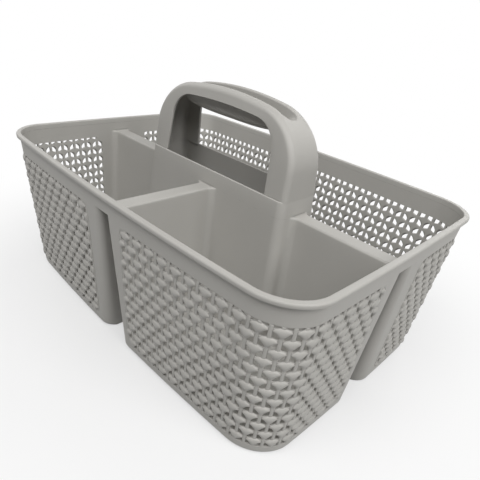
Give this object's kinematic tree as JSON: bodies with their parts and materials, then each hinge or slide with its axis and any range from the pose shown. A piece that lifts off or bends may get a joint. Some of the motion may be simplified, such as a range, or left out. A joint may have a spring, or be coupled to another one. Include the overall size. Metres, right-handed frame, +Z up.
{
  "type": "divided carry basket",
  "caption": "Open plastic organizer basket with woven-look tapered walls, divided bins and a fixed central carry handle.",
  "frame": {"origin": "middle of the underside, on the surface that the basket stands on", "axes": "+Z up, +X along the long sides, -Y towards the two front bins"},
  "size_m": [0.3798, 0.2718, 0.215],
  "materials": {
    "taupe_plastic": "moulded warm light grey, satin-matte, with a raised woven field on the outer walls"
  },
  "bodies": {
    "root": {"rim": "taupe_plastic", "collar": "taupe_plastic", "front_left_woven_wall": "taupe_plastic", "front_right_woven_wall": "taupe_plastic", "back_woven_wall": "taupe_plastic", "front_left_floor": "taupe_plastic", "front_right_floor": "taupe_plastic", "back_floor": "taupe_plastic", "cross_divider_left_leaf": "taupe_plastic", "cross_divider_right_leaf": "taupe_plastic", "left_divider_front_leaf": "taupe_plastic", "left_divider_back_leaf": "taupe_plastic", "right_divider_front_leaf": "taupe_plastic", "right_divider_back_leaf": "taupe_plastic", "cross_divider_cap": "taupe_plastic", "left_divider_cap": "taupe_plastic", "right_divider_cap": "taupe_plastic", "well_front_wall": "taupe_plastic", "well_back_wall": "taupe_plastic", "well_left_end": "taupe_plastic", "well_right_end": "taupe_plastic", "handle_left_leg": "taupe_plastic", "handle_right_leg": "taupe_plastic", "handle_arch": "taupe_plastic", "sunk_grip": "taupe_plastic"}
  },
  "joints": []
}
